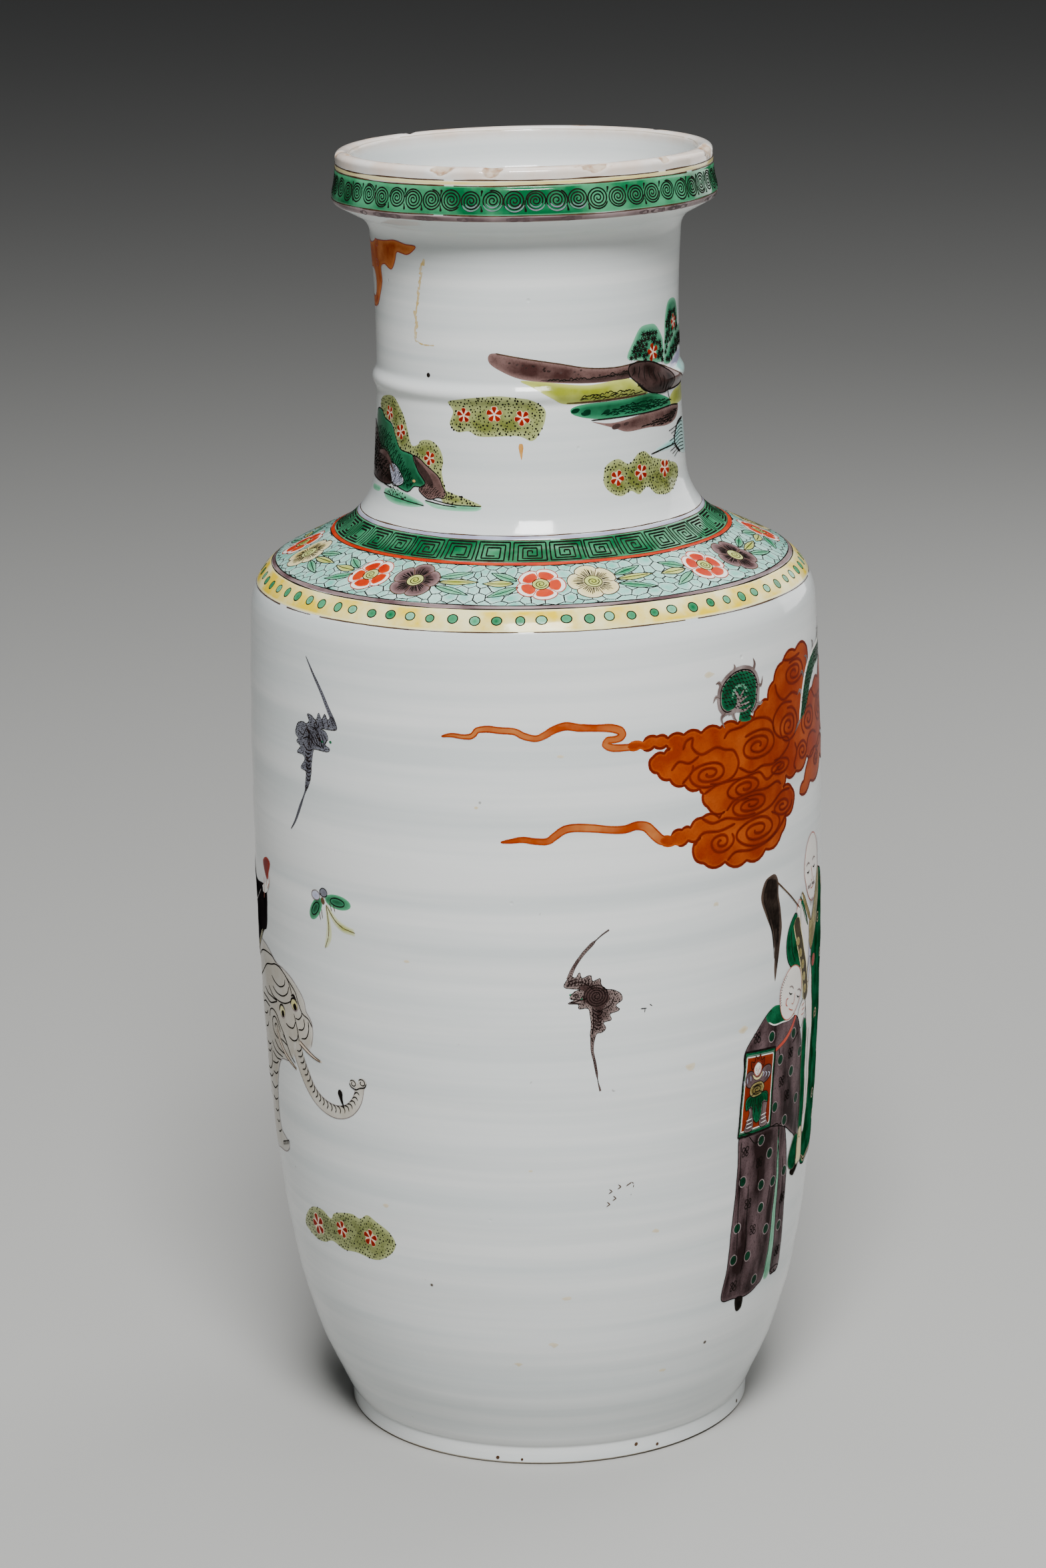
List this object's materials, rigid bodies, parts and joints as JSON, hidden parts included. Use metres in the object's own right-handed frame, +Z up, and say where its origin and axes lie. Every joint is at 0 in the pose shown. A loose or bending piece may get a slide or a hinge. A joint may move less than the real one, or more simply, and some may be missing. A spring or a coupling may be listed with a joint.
{
  "type": "rouleau vase",
  "caption": "Tall cylindrical porcelain vase with a rounded shoulder, a ridged straight neck, a cupped mouth and a recessed foot, for flowers or display.",
  "frame": {"origin": "centre of the resting face of the foot ring, on the axis of the vase", "axes": "+Z up along the axis of the vase; the pictured side faces -Y; X to the right as seen in the picture"},
  "size_m": [0.1986, 0.1986, 0.45],
  "materials": {
    "porcelain": "clear glaze, glossy, with overglaze enamel painting; bare on the resting face",
    "luting_slip": "fired slip, matt"
  },
  "bodies": {
    "root": {"foot": "porcelain", "lower_body": "porcelain", "upper_body": "porcelain", "shoulder": "porcelain", "neck": "porcelain", "mouth": "porcelain", "foot_luting": "luting_slip", "belly_luting": "luting_slip", "shoulder_luting": "luting_slip", "neck_luting": "luting_slip", "mouth_luting": "luting_slip"}
  },
  "joints": []
}
